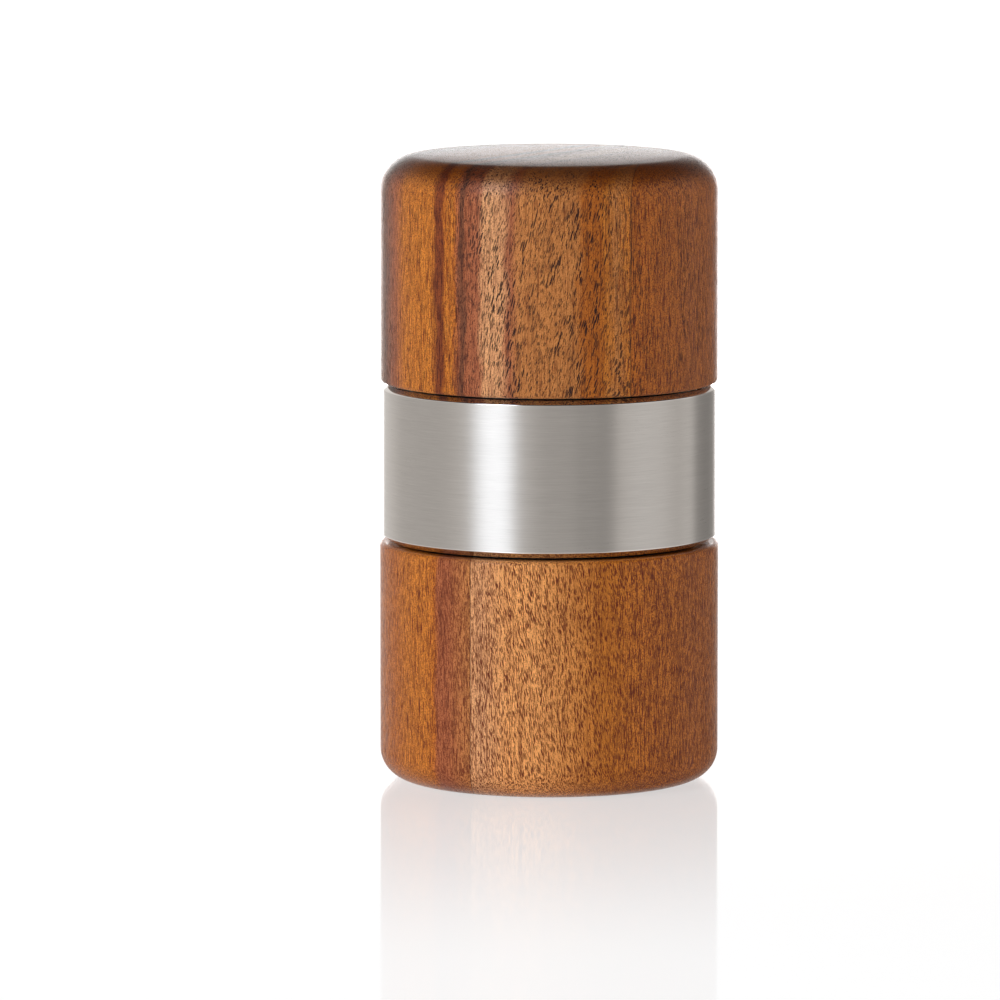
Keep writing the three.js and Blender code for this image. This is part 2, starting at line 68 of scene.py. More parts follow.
def paint(red, green, blue):
    """A linear colour from the usual 0 to 255 screen values."""
    screen = np.array([red, green, blue]) / 255
    linear = np.where(screen <= 0.04045, screen / 12.92, ((screen + 0.055) / 1.055) ** 2.4)
    return tuple(float(part) for part in linear)


def colour(name, description, default):
    return FloatVectorProperty(name=name, description=description, subtype="COLOR", size=3,
                               default=default, min=0, max=1)


class MillWood(bpy.types.PropertyGroup):
    golden: colour("Golden", "Sapwood at the left of both wooden parts", paint(184, 111, 38))
    red: colour("Red brown", "Narrow streaks beside the golden wood", paint(118, 56, 24))
    russet: colour("Russet", "Broader streak beside the dark one", paint(152, 86, 52))
    dark: colour("Dark streak", "Grey-brown heart streak", paint(100, 57, 36))
    tan: colour("Tan", "Pale wood in the middle", paint(200, 144, 96))
    amber: colour("Amber", "Warm middle tone", paint(178, 115, 60))
    orange: colour("Orange", "Thin bright streak", paint(166, 93, 29))
    honey: colour("Honey", "Middle of the cup", paint(217, 151, 87))
    brown: colour("Brown", "Plain board at the right", paint(174, 99, 31))
    pore: colour("Pores", "Pores of the cap, and the glue lines", paint(36, 15, 13))
    pore_red: colour("Red pores", "Pores of the cup, and its drying crack", paint(104, 38, 14))
    roughness: FloatProperty(name="Roughness", description="Satin of the oiled surface",
                             default=0.31, min=0, max=1)
    gloss: FloatProperty(name="Gloss", description="Strength of the reflection seen straight on",
                         default=0.3, min=0, max=1)


class MillSteel(bpy.types.PropertyGroup):
    steel: colour("Steel", "Colour of the bare steel", (0.62, 0.61, 0.60))
    bright: colour("Bright steel", "Grater, screws, clip and spring", (0.66, 0.66, 0.67))
    mirror: colour("Mirror", "The band's polished edges", (0.86, 0.85, 0.84))
    brushed: FloatProperty(name="Brushed roughness", description="Roughness of the brushed band",
                           default=0.30, min=0, max=1)
    polished: FloatProperty(name="Polished roughness", description="Roughness of the band's edges",
                            default=0.07, min=0, max=1)


class MillStudio(bpy.types.PropertyGroup):
    distance: FloatProperty(name="Camera distance", description="From the mill's axis",
                            default=1.545, unit="LENGTH")
    height: FloatProperty(name="Camera height", description="Above the table", default=0.23887,
                          unit="LENGTH")
    aim: FloatProperty(name="Aim height", description="Where the camera looks, above the table",
                       default=0.04816, unit="LENGTH")
    aside: FloatProperty(name="Aside", description="Camera to the left of the mill's axis",
                         default=0.00849, unit="LENGTH")
    lens: FloatProperty(name="Lens", description="Focal length in millimetres", default=324.4)
    key: FloatProperty(name="Key lamp", description="Power of the soft lamp at the left", default=3.6,
                       unit="POWER")
    fill: FloatProperty(name="Fill lamp", description="Power of the soft lamp at the right", default=3.0,
                        unit="POWER")
    surround: FloatProperty(name="Surround", description="Strength of the light from the room", default=1.0)


class MillDetail(bpy.types.PropertyGroup):
    turned: IntProperty(name="Turned sides", description="Facets round the wood and the band", default=384)
    inner: IntProperty(name="Inner sides", description="Facets round the pieces inside", default=144)
    small: IntProperty(name="Small sides", description="Facets round screws and spikes", default=40)


# Shader maths


class Link:
    """A node's output that can be used in sums: each operator adds a Math node."""

    def __init__(self, tree, output):
        self.tree, self.output = tree, output

    def math(self, operation, *values):
        return self.tree.node("ShaderNodeMath", {"operation": operation}, dict(enumerate(values)))

    def __add__(self, other):
        return self.math("ADD", self, other)

    def __sub__(self, other):
        return self.math("SUBTRACT", self, other)

    def __rsub__(self, other):
        return self.math("SUBTRACT", other, self)

    def __mul__(self, other):
        return self.math("MULTIPLY", self, other)

    def __pow__(self, other):
        return self.math("POWER", self, other)

    __radd__, __rmul__ = __add__, __mul__

    def step(self, low, high):
        """0 below low and 1 above high, smooth between them. Low may be the larger one."""
        return self.tree.node("ShaderNodeMapRange", {"interpolation_type": "SMOOTHSTEP"},
                              {"Value": self, "From Min": low, "From Max": high})

    def size(self):
        """The value without its sign."""
        return self.math("ABSOLUTE", self)

    def or_more(self, other):
        """The larger of both values."""
        return self.math("MAXIMUM", self, other)

    def also(self, name):
        """Another output of the same node."""
        return Link(self.tree, self.output.node.outputs[name])


class Tree:
    """The nodes of one material or world."""

    def __init__(self, owner):
        owner.use_nodes = True
        self.nodes, self.links = owner.node_tree.nodes, owner.node_tree.links
        self.nodes.clear()

    def node(self, kind, settings=None, values=None, output=0):
        """Adds a node: its settings first, then what its sockets are fed."""
        made = self.nodes.new(kind)
        for name, value in (settings or {}).items():
            if name == "stops":
                self.set_stops(made.color_ramp, value)
            else:
                setattr(made, name, value)
        for name, value in (values or {}).items():
            self.feed(made.inputs[name], value)
        return Link(self, made.outputs[output]) if made.outputs else None

    def feed(self, socket, value):
        """Links a socket or sets its value, a colour with its alpha."""
        if isinstance(value, Link):
            self.links.new(value.output, socket)
        else:
            socket.default_value = (*value, 1.0) if isinstance(value, tuple) else value

    @staticmethod
    def set_stops(ramp, stops):
        while len(ramp.elements) < len(stops):
            ramp.elements.new(1.0)
        for element, (place, shade) in zip(ramp.elements, stops):
            element.position = place
            element.color = (*shade, 1.0)

    def place(self):
        """The point on the piece, in millimetres, as separate x, y and z."""
        object_place = self.node("ShaderNodeTexCoord", output="Object")
        scaled = self.node("ShaderNodeVectorMath", {"operation": "SCALE"},
                           {0: object_place, "Scale": 1 / MM})
        return self.parts(scaled)

    def parts(self, vector):
        x = self.node("ShaderNodeSeparateXYZ", values={0: vector})
        return x, x.also("Y"), x.also("Z")

    def vector(self, x, y, z):
        return self.node("ShaderNodeCombineXYZ", values={0: x, 1: y, 2: z})

    def noise(self, x, y, z, across, along, detail=2.0, roughness=0.5):
        """Noise with so many waves to a millimetre across the axis (x and y) and along it (z)."""
        return self.node("ShaderNodeTexNoise", values={
            "Vector": self.vector(x * across, y * across, z * along), "Scale": 1.0, "Detail": detail,
            "Roughness": roughness})

    def mix(self, share, first, second, blend="MIX"):
        made = self.nodes.new("ShaderNodeMix")
        made.data_type, made.blend_type = "RGBA", blend
        for place, value in ((0, share), (6, first), (7, second)):
            self.feed(made.inputs[place], value)
        return Link(self, made.outputs[2])

    def ramp(self, value, low, high, stops):
        """Colours by value, whose stops are given in the value's own units from low to high."""
        places = [((place - low) / (high - low), shade) for place, shade in stops]
        share = self.node("ShaderNodeMapRange", values={"Value": value, "From Min": low, "From Max": high})
        return self.node("ShaderNodeValToRGB", {"stops": places}, {"Fac": share})

    def bump(self, height, distance):
        return self.node("ShaderNodeBump", values={
            "Height": height, "Distance": distance * MM, "Strength": 1.0})

    def surface(self, kind="ShaderNodeBsdfPrincipled", **values):
        """Ends a material in one shader, with socket names written with underscores."""
        return self.node(kind, values={name.replace("_", " "): value for name, value in values.items()})

    def end(self, shader, kind="ShaderNodeOutputMaterial"):
        self.node(kind, values={"Surface": shader})


def new_finish(name):
    material = bpy.data.materials.new(name)
    return material, Tree(material)


def settings():
    return bpy.context.scene.mill_wood, bpy.context.scene.mill_steel, bpy.context.scene.mill_studio


# Wood

CAP_JOINT, CUP_JOINT = 13.0, -14.2  # glue lines between two boards, in x
FRONT = -29.0                       # y of the wood's front, where the streaks' places are counted
STREAK_LEAN = 0.6                   # how fast the growth layers run aside as they run back
JOINT_LEAN = 0.2


def streak_place(tree, x, y, z):
    """Place across the growth layers: x at the front, swayed slowly and frayed along the fibres."""
    sway = tree.noise(x, y, z, 0.06, 0.04) - 0.5
    wave = tree.noise(x, y, z, 0.30, 0.16, 2, 0.6) - 0.5
    fray = tree.noise(x, y, z, 2.2, 0.22, 2, 0.7) - 0.5
    return x - (y - FRONT) * STREAK_LEAN + sway * 1.6 + wave * 2.2 + fray * 2.0


def fibre_place(tree, x, y, z):
    """x followed along the fibres, which bend slowly either way."""
    return x + (tree.noise(x, y, z, 0.04, 0.05, 1) - 0.5) * 3.0


def pores(tree, x, y, z, across, along, size, share):
    """Open pores: ellipsoids round the points of a Voronoi pattern stretched along z, some left out."""
    cells = tree.node("ShaderNodeTexVoronoi", {"feature": "F1"}, {
        "Vector": tree.vector(x * across, y * across, z * along), "Scale": 1.0, "Randomness": 1.0})
    lot = tree.parts(cells.also("Color"))[0]
    return cells.step(size, size * 0.85) * lot.step(1.0 - share, 1.15 - share)


def contrast(spread):
    """Multiplying colours for a noise: dark and a little red at its low end, slightly pale at its top."""
    low = (1 - spread * 0.78, 1 - spread, 1 - spread * 1.10)
    return [(0.30, low), (0.50, (1 + spread * 0.18,) * 3), (0.70, (1 + spread * 0.26,) * 3)]


def wood_colour(name):
    return tuple(getattr(settings()[0], name))


def streaks(*stops):
    """Stops of a board's colour ramp: a place across the growth layers and a colour of MillWood each."""
    return [(place, wood_colour(name)) for place, name in stops]


def finish_wood(name, boards, pore, joint, slants, vigours, levels, pore_form, crown=0.0, check=0.0):
    """Oiled acacia in two glued boards, each with its streaks, its fibres' slant and its pores.

    Colour is the board's streak ramp times hair, fibre, fleck, grit and curl noise, then darkened by
    pores, the glue line, a fine drying crack if check is 1, and a darker top that is partly end grain and
    partly painted shade on the top rounding. Slants and vigours (how lively the grain is) are those of the
    left, the middle and the right. Levels are the wood's middle and the start and end of that darker top
    (end grain and painted shade). Pore form is the pores' count to a millimetre across and
    along, their size, how many there are and how evenly they lie. A crown is a very shallow dome in the
    shading of a flat top: height falls as radius squared and to the fourth.
    """
    wood = settings()[0]
    material, tree = new_finish(name)
    x, y, z = tree.place()
    middle, grain_and_shade_start, grain_and_shade_end = levels
    glue = (y - FRONT) * JOINT_LEAN + joint
    side = (x - glue).step(-0.04, 0.04)
    place = streak_place(tree, x, y, z)
    left, second = tree.ramp(place, -70.0, 20.0, boards[0]), tree.ramp(place, -40.0, 40.0, boards[1])
    shade = tree.mix(side, left, second)

    centre = place.step(-26.0, -10.0)
    right = (x - y * 0.3).step(17.0, 24.0)

    def zoned(at_left, amid, at_right):
        return centre * (amid - at_left) + right * (at_right - amid) + at_left

    slant, vigour, coarse = zoned(*slants), zoned(*vigours), zoned(0.95, 0.55, 1.05)
    upright = fibre_place(tree, x, y, z)
    slid = upright - (z - middle) * slant
    hair = tree.noise(upright, y, z, 5.0, 0.30, 1, 0.6)
    fibre = tree.noise(upright, y, z, 1.4, 0.05, 2, 0.6)
    fleck = tree.noise(slid, y, z, 1.6, 0.40, 2, 0.6)
    grit = tree.noise(x, y, z, 5.2, 4.0, 1, 0.5)
    curl = tree.noise(x, y, z, 0.16, 0.24, 2, 0.5)
    for part, spread, share in ((hair, 0.95, coarse), (fibre, 0.26, 1.0), (fleck, 0.10, vigour),
                                (grit, 0.80, coarse), (curl, 0.10, vigour)):
        shade = tree.mix(share, shade, tree.ramp(part, 0.25, 0.75, contrast(spread)), "MULTIPLY")

    crowd = tree.noise(slid, y, z, 0.30, 0.06, 2).step(0.38, 0.58)
    across, along, size, share, even = pore_form
    large = pores(tree, slid, y, z, across, along, size, share) * (crowd * (1 - even) + even)
    small = pores(tree, slid + 40.0, y, z, 5.2, 0.90, 0.38, 0.7) * 0.9
    long = pores(tree, upright + 80.0, y, z, 3.0, 0.06, 0.27, 0.6) * (right * 0.3 + 0.45)
    open_pores = large.or_more(small.or_more(long))
    glue_line = (x - glue).size().step(0.14, 0.04)
    split = x - (z - middle) * 0.12 + 10.4 + (fibre - 0.5) * 0.8
    split_line = split.size().step(0.13, 0.05) * z.step(9.0, 14.0) * z.step(33.0, 28.0) * check
    for part, dark in ((open_pores * (vigour * 0.7 + 0.3), pore), (glue_line * 0.55, wood_colour("pore")),
                       (split_line * y.step(0.0, -2.0) * 0.8, wood_colour("pore_red"))):
        shade = tree.mix(part, shade, dark)
    # Darker top: partly oil-soaked end grain, partly painted shade where the top rounding faces the dark
    # overhead.
    shade = tree.mix(z.step(grain_and_shade_start, grain_and_shade_end), shade, (0.32, 0.27, 0.24), "MULTIPLY")

    rough = open_pores * 0.25 + (hair - 0.5) * 0.12 + wood.roughness
    reach = x * x + y * y
    height = hair * 0.25 - open_pores * vigour - glue_line * 0.6 - (reach + reach ** 2 * 0.0042) * crown
    tree.end(tree.surface(Base_Color=shade, Roughness=rough, Normal=tree.bump(height, 0.05),
                          Specular_IOR_Level=wood.gloss))
    return material


def finish_cap_wood():
    """Golden wood, red and dark streaks, then the tan middle; a plain board at the right of the joint."""
    left = streaks(
        (-70.0, "amber"), (-55.0, "tan"), (-41.0, "dark"), (-36.5, "russet"), (-33.0, "golden"),
        (-25.0, "golden"), (-23.7, "red"), (-22.5, "red"), (-21.8, "orange"), (-21.2, "golden"),
        (-20.7, "orange"), (-20.1, "golden"), (-19.5, "orange"), (-18.6, "russet"), (-17.9, "dark"),
        (-17.4, "dark"), (-16.7, "russet"), (-14.0, "russet"), (-12.9, "tan"), (-9.2, "tan"),
        (-7.4, "russet"), (-5.6, "amber"), (3.8, "amber"), (5.4, "orange"), (7.6, "orange"),
        (8.4, "golden"), (9.8, "amber"), (11.4, "golden"), (20.0, "golden"),
    )
    right = streaks((-40.0, "amber"), (-5.0, "brown"), (11.0, "orange"), (17.0, "orange"), (21.0, "brown"),
                    (40.0, "brown"))
    low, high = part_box("top_cap")
    # The darker top, partly end grain and partly painted shade, runs from 5 mm to 0.8 mm below the cap's
    # top.
    levels = ((low.z + high.z) / 2 / MM, high.z / MM - 5.0, high.z / MM - 0.8)
    return finish_wood("wood_cap", (left, right), wood_colour("pore"), CAP_JOINT, (0.0, 0.24, 0.03),
                       (0.35, 1.0, 0.5), levels, (2.9, 0.40, 0.38, 0.85, 0.2), crown=0.012)


def finish_cup_wood():
    """A golden board with a russet edge, then one from tan to brown; no end grain or painted shade darkens
    it.
    """
    left = streaks(
        (-70.0, "brown"), (-36.5, "brown"), (-33.0, "golden"), (-25.8, "golden"), (-24.4, "brown"),
        (-23.2, "russet"), (-20.8, "russet"), (-15.0, "amber"), (20.0, "amber"),
    )
    right = streaks(
        (-40.0, "amber"), (-16.0, "tan"), (-13.0, "tan"), (-8.0, "honey"), (-2.5, "honey"), (8.5, "golden"),
        (18.0, "brown"), (40.0, "brown"),
    )
    low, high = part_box("base_cup")
    # The darker top (end grain and painted shade) starts above the cup, so none of it shows.
    levels = ((low.z + high.z) / 2 / MM, high.z / MM + 1.0, high.z / MM + 2.0)
    return finish_wood("wood_cup", (left, right), wood_colour("pore_red"), CUP_JOINT, (0.0, -0.15, -0.04),
                       (0.45, 1.0, 0.8), levels, (4.6, 0.56, 0.38, 0.92, 1.0), check=1.0)


# Metal, plastic and rubber


def finish_brushed():
    """Steel brushed round the band: fine lines that run round it, as noise stretched across z."""
    steel = settings()[1]
    material, tree = new_finish("steel_brushed")
    x, y, z = tree.place()
    fine = tree.noise(x, y, z, 0.22, 11.0, 3, 0.7)
    broad = tree.noise(x, y, z, 0.05, 2.2, 2, 0.6)
    cloud = tree.noise(x, y, z, 0.09, 0.12, 2, 0.5)
    level = (fine - 0.5) * 0.36 + (broad - 0.5) * 0.12 + 1.0
    tone = tree.mix(1.0, tuple(steel.steel), tree.vector(level, level, level), "MULTIPLY")
    rough = steel.brushed + (fine - 0.5) * 0.10 + (cloud - 0.5) * 0.06
    tree.end(tree.surface(Base_Color=tone, Metallic=1.0, Roughness=rough, Anisotropic=0.85,
                          Anisotropic_Rotation=0.25, Normal=tree.bump(fine, 0.004)))
    return material


def finish_polished():
    """The band's rounded edges: nearly a mirror, with faint turning marks."""
    steel = settings()[1]
    material, tree = new_finish("steel_polished")
    x, y, z = tree.place()
    marks = tree.noise(x, y, z, 0.4, 14.0, 2)
    rough = steel.polished + (marks - 0.5) * 0.05
    tone = tree.mix(marks * 0.2, tuple(steel.mirror), tuple(steel.steel))
    tree.end(tree.surface(Base_Color=tone, Metallic=1.0, Roughness=rough))
    return material


def finish_bright():
    """Plain stainless sheet and wire: soft blotches and short scratches."""
    steel = settings()[1]
    material, tree = new_finish("steel_bright")
    x, y, z = tree.place()
    blotch = tree.noise(x, y, z, 0.5, 0.5, 3)
    scratch = tree.noise(x * 7.0, y * 1.1, z, 1.0, 3.0, 3, 0.7)
    tone = tree.mix(blotch * 0.35, tuple(steel.bright), tuple(steel.steel))
    rough = blotch * 0.16 + scratch * 0.10 + 0.12
    tree.end(tree.surface(Base_Color=tone, Metallic=1.0, Roughness=rough, Normal=tree.bump(scratch, 0.004)))
    return material


def finish_moulded(name, shade, worn, rough, grain):
    """Moulded plastic or rubber: spark-eroded grain, rubbed a little lighter in patches."""
    material, tree = new_finish(name)
    x, y, z = tree.place()
    pitting = tree.noise(x, y, z, grain, grain, 3, 0.6)
    patch = tree.noise(x, y, z, 0.25, 0.25, 3, 0.6)
    tone = tree.mix(patch.step(0.45, 0.75) * 0.6, shade, worn)
    gloss = rough + (pitting - 0.5) * 0.15 + (patch - 0.5) * 0.12
    tree.end(tree.surface(Base_Color=tone, Roughness=gloss, Normal=tree.bump(pitting, 0.02)))
    return material


FINISHES = {}


def finish(name):
    """The material of that name, made the first time it is asked for."""
    makers = {
        "cap": finish_cap_wood,
        "cup": finish_cup_wood,
        "brushed": finish_brushed,
        "polished": finish_polished,
        "bright": finish_bright,
        "black": lambda: finish_moulded("plastic_black", (0.018,) * 3, (0.032,) * 3, 0.45, 5.0),
        "pale": lambda: finish_moulded("plastic_pale", (0.70, 0.66, 0.57), (0.78, 0.75, 0.68), 0.36, 3.0),
        "rubber": lambda: finish_moulded("rubber_seal", (0.022,) * 3, (0.04,) * 3, 0.66, 7.0),
    }
    if name not in FINISHES:
        FINISHES[name] = makers[name]()
    return FINISHES[name]


# Shapes, in millimetres until they become meshes


def rounded(corners, steps=7):
    """Profile through (radius, level, rounding) corners, and its outward normals.

    Each corner is cut back by rounding * tan(half the turn) and bridged by a circular arc that meets both
    sides squarely. An open profile starts and ends on the axis, a closed one goes round a ring's section.
    """
    spots = np.array([corner[:2] for corner in corners], float)
    count, closed = len(spots), corners[0][0] > 0
    points, normals = [], []
    for i in range(count):
        if not closed and i in (0, count - 1):
            ahead = spots[1] - spots[0] if i == 0 else spots[-1] - spots[-2]
            ahead /= np.linalg.norm(ahead)
            points.append(spots[i][None])
            normals.append(np.array([[0.0, -np.sign(ahead[0])]]))
            continue
        into = spots[i] - spots[i - 1]
        out = spots[(i + 1) % count] - spots[i]
        room = min(np.linalg.norm(into), np.linalg.norm(out)) * 0.49
        into, out = into / np.linalg.norm(into), out / np.linalg.norm(out)
        turn = math.atan2(into[0] * out[1] - into[1] * out[0], into @ out)
        if abs(turn) < 1e-4:
            continue
        radius = min(corners[i][2], room / math.tan(abs(turn) / 2))
        left = np.array([-into[1], into[0]]) * np.sign(turn)
        centre = spots[i] - into * radius * math.tan(abs(turn) / 2) + left * radius
        swing = np.linspace(0, turn, max(2, math.ceil(abs(turn) / (math.pi / 2) * steps) + 1))
        cos, sin = np.cos(swing), np.sin(swing)
        spoke = -left
        arc = np.stack([spoke[0] * cos - spoke[1] * sin, spoke[0] * sin + spoke[1] * cos], 1)
        points.append(centre + arc * radius)
        normals.append(arc * np.sign(turn))
    return np.concatenate(points), np.concatenate(normals)


def add_mesh(name, vertices, faces, normals=None):
    """A smooth mesh object from whole arrays, millimetres in and metres out."""
    mesh = bpy.data.meshes.new(name)
    mesh.from_pydata((np.asarray(vertices) * MM).tolist(), [], faces)
    mesh.polygons.foreach_set("use_smooth", np.ones(len(mesh.polygons), bool))
    if normals is not None:
        mesh.normals_split_custom_set_from_vertices(np.asarray(normals).tolist())
    mesh.update()
    piece = bpy.data.objects.new(name, mesh)
    bpy.context.scene.collection.objects.link(piece)
    return piece


def grid_faces(rows, columns, wrap_rows=False):
    """Quads of a grid whose columns, and rows if asked, close on themselves."""
    i, j = np.meshgrid(np.arange(rows if wrap_rows else rows - 1), np.arange(columns), indexing="ij")
    below, beside = (i + 1) % rows, (j + 1) % columns
    row, next_row = i * columns, below * columns
    return np.stack([row + j, row + beside, next_row + beside, next_row + j], -1).reshape(-1, 4)


def tube_faces(rings, sides, flip=False):
    """Quads along a row of rings and a flat face over each end, all turned over if flip."""
    quads = grid_faces(rings, sides)
    first, last = np.arange(sides)[::-1], np.arange((rings - 1) * sides, rings * sides)
    if flip:
        quads, first, last = quads[:, ::-1], first[::-1], last[::-1]
    return [*quads.tolist(), first.tolist(), last.tolist()]


def turned(name, corners, sides, steps=7, at=(0.0, 0.0)):
    """A profile spun round an upright axis: x = r cos a, y = r sin a for the whole grid at once."""
    profile, slopes = rounded(corners, steps)
    angles = np.arange(sides) * 2 * math.pi / sides
    cos, sin = np.cos(angles), np.sin(angles)

    def sweep(rows):
        return np.stack([np.outer(rows[:, 0], cos), np.outer(rows[:, 0], sin),
                         np.repeat(rows[:, 1:], sides, 1)], -1).reshape(-1, 3)

    if corners[0][0] > 0:
        vertices, normals = sweep(profile), sweep(slopes)
        faces = grid_faces(len(profile), sides, True).tolist()
    else:
        rings = len(profile) - 2
        vertices = np.concatenate([sweep(profile[1:-1]), [[0, 0, profile[0, 1]], [0, 0, profile[-1, 1]]]])
        normals = np.concatenate([sweep(slopes[1:-1]), [[0, 0, slopes[0, 1]], [0, 0, slopes[-1, 1]]]])
        faces = grid_faces(rings, sides).tolist()
        side, beside = np.arange(sides), (np.arange(sides) + 1) % sides
        first, last = np.full(sides, rings * sides), np.full(sides, rings * sides + 1)
        top = (rings - 1) * sides
        faces += np.stack([first, beside, side], 1).tolist()
        faces += np.stack([last, top + side, top + beside], 1).tolist()
    vertices = vertices + np.array([at[0], at[1], 0.0])
    return add_mesh(name, vertices, faces, normals)


def ring_section(inner, outer, low, high, edge):
    """Corners of a plain ring's section."""
    return [(inner, low, edge), (outer, low, edge), (outer, high, edge), (inner, high, edge)]


def bar_section(radius, low, high, edge):
    """Corners of a plain bar's half section, from the axis out and back to it."""
    return [(0, low, 0), (radius, low, edge), (radius, high, edge), (0, high, 0)]


def round_places(radius, count, phase=0.0):
    """Centres of pieces spread evenly round the axis."""
    angles = (np.arange(count) + phase) * 2 * math.pi / count
    return np.stack([radius * np.cos(angles), radius * np.sin(angles)], 1)


def settled(piece):
    """Makes a piece's modifiers part of its mesh."""
    graph = bpy.context.evaluated_depsgraph_get()
    made = bpy.data.meshes.new_from_object(piece.evaluated_get(graph))
    piece.modifiers.clear()
    piece.data = made
    return made


def shaped(piece, tools, operation="DIFFERENCE"):
    """Cuts a piece by each tool, or joins them to it; then only level faces are shaded flat."""
    level_normal, sharp = 0.9999, 28.0
    for tool in tools:
        change = piece.modifiers.new("cut", "BOOLEAN")
        change.operation, change.solver, change.object = operation, "EXACT", tool
    made = settled(piece)
    normals = np.zeros(len(made.polygons) * 3)
    made.polygons.foreach_get("normal", normals)
    made.polygons.foreach_set("use_smooth", np.abs(normals.reshape(-1, 3)[:, 2]) < level_normal)
    made.normals_split_custom_set(np.zeros((len(made.loops), 3)).tolist())
    made.set_sharp_from_angle(angle=math.radians(sharp))
    level = piece.modifiers.new("level", "WEIGHTED_NORMAL")
    level.keep_sharp, level.weight = True, 100
    settled(piece)
    for tool in tools:
        bpy.data.objects.remove(tool)
    return piece


def joined(pieces):
    """One object from several."""
    with bpy.context.temp_override(active_object=pieces[0], object=pieces[0], selected_objects=pieces,
                                   selected_editable_objects=pieces):
        bpy.ops.object.join()
    return pieces[0]


def dress(piece, body, material, slot, *nodes):
    """Gives a piece its finish, its body and the nodes that it stands for."""
    if material:
        piece.data.materials.clear()
        piece.data.materials.append(finish(material))
    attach(piece, body)
    if nodes:
        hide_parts(*nodes)
    return piece


def keep(node, material):
    """A CAD node that stays as it is, in its new finish."""
    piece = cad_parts[node]
    if not piece.material_slots:
        piece.data.materials.append(finish(material))
    for held in piece.material_slots:
        held.material = finish(material)


def span(node):
    """A node's outer radius and its lowest and highest level, in millimetres."""
    low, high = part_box(node)
    return max(high.x, high.y) / MM, low.z / MM, high.z / MM


def detail():
    return bpy.context.scene.mill_detail


# Pieces


class MILL_OT_cup(bpy.types.Operator):
    """Make the turned wooden cup, its liner and its rubber seal"""

    bl_idname = "mill.cup"
    bl_label = "Cup"

    def execute(self, context):
        radius, foot, lip = span("base_cup")
        lip -= 0.15
        bore, floor, foot_round, seam_round = radius - 3.2, 5.0, 5.2, 0.75
        cup = turned("cup_wood", [
            (0, foot, 0), (radius, foot, foot_round), (radius, lip, seam_round), (bore, lip, 0.3),
            (bore, floor, 0.6), (0, floor, 0),
        ], detail().turned, steps=14)
        dress(cup, "cup", "cup", WOOD, "base_cup")

        outer, bottom, rim = span("base_liner")
        spigot, inner, shoulder, seal_level = outer - 0.8, outer - 2.5, lip - 0.1, lip + 3.1
        groove, half = outer - 1.9, 1.1
        liner = turned("cup_liner", [
            (0, bottom, 0), (outer, bottom, 0.4), (outer, shoulder, 0.15), (spigot, shoulder, 0.15),
            (spigot, seal_level - half, 0.1), (groove, seal_level - half, 0.15),
            (groove, seal_level + half, 0.15), (spigot, seal_level + half, 0.1), (spigot, rim - 0.5, 0.15),
            (spigot - 0.5, rim, 0.15), (inner, rim, 0.25), (inner, bottom + 1.5, 2.0), (0, bottom + 1.5, 0),
        ], detail().inner)
        dress(liner, "cup", "black", BLACK, "base_liner")
        seal_ring("cup_seal", "base_seal", "cup")
        return {"FINISHED"}


def seal_ring(name, node, body):
    """A round rubber ring: a full circle of small radius, spun."""
    outer, bottom, top = span(node)
    wire = (top - bottom) / 2
    inner = outer - 2 * wire
    ring = turned(name, ring_section(inner, outer, bottom, top, wire), detail().inner)
    return dress(ring, body, "rubber", RUBBER, node)


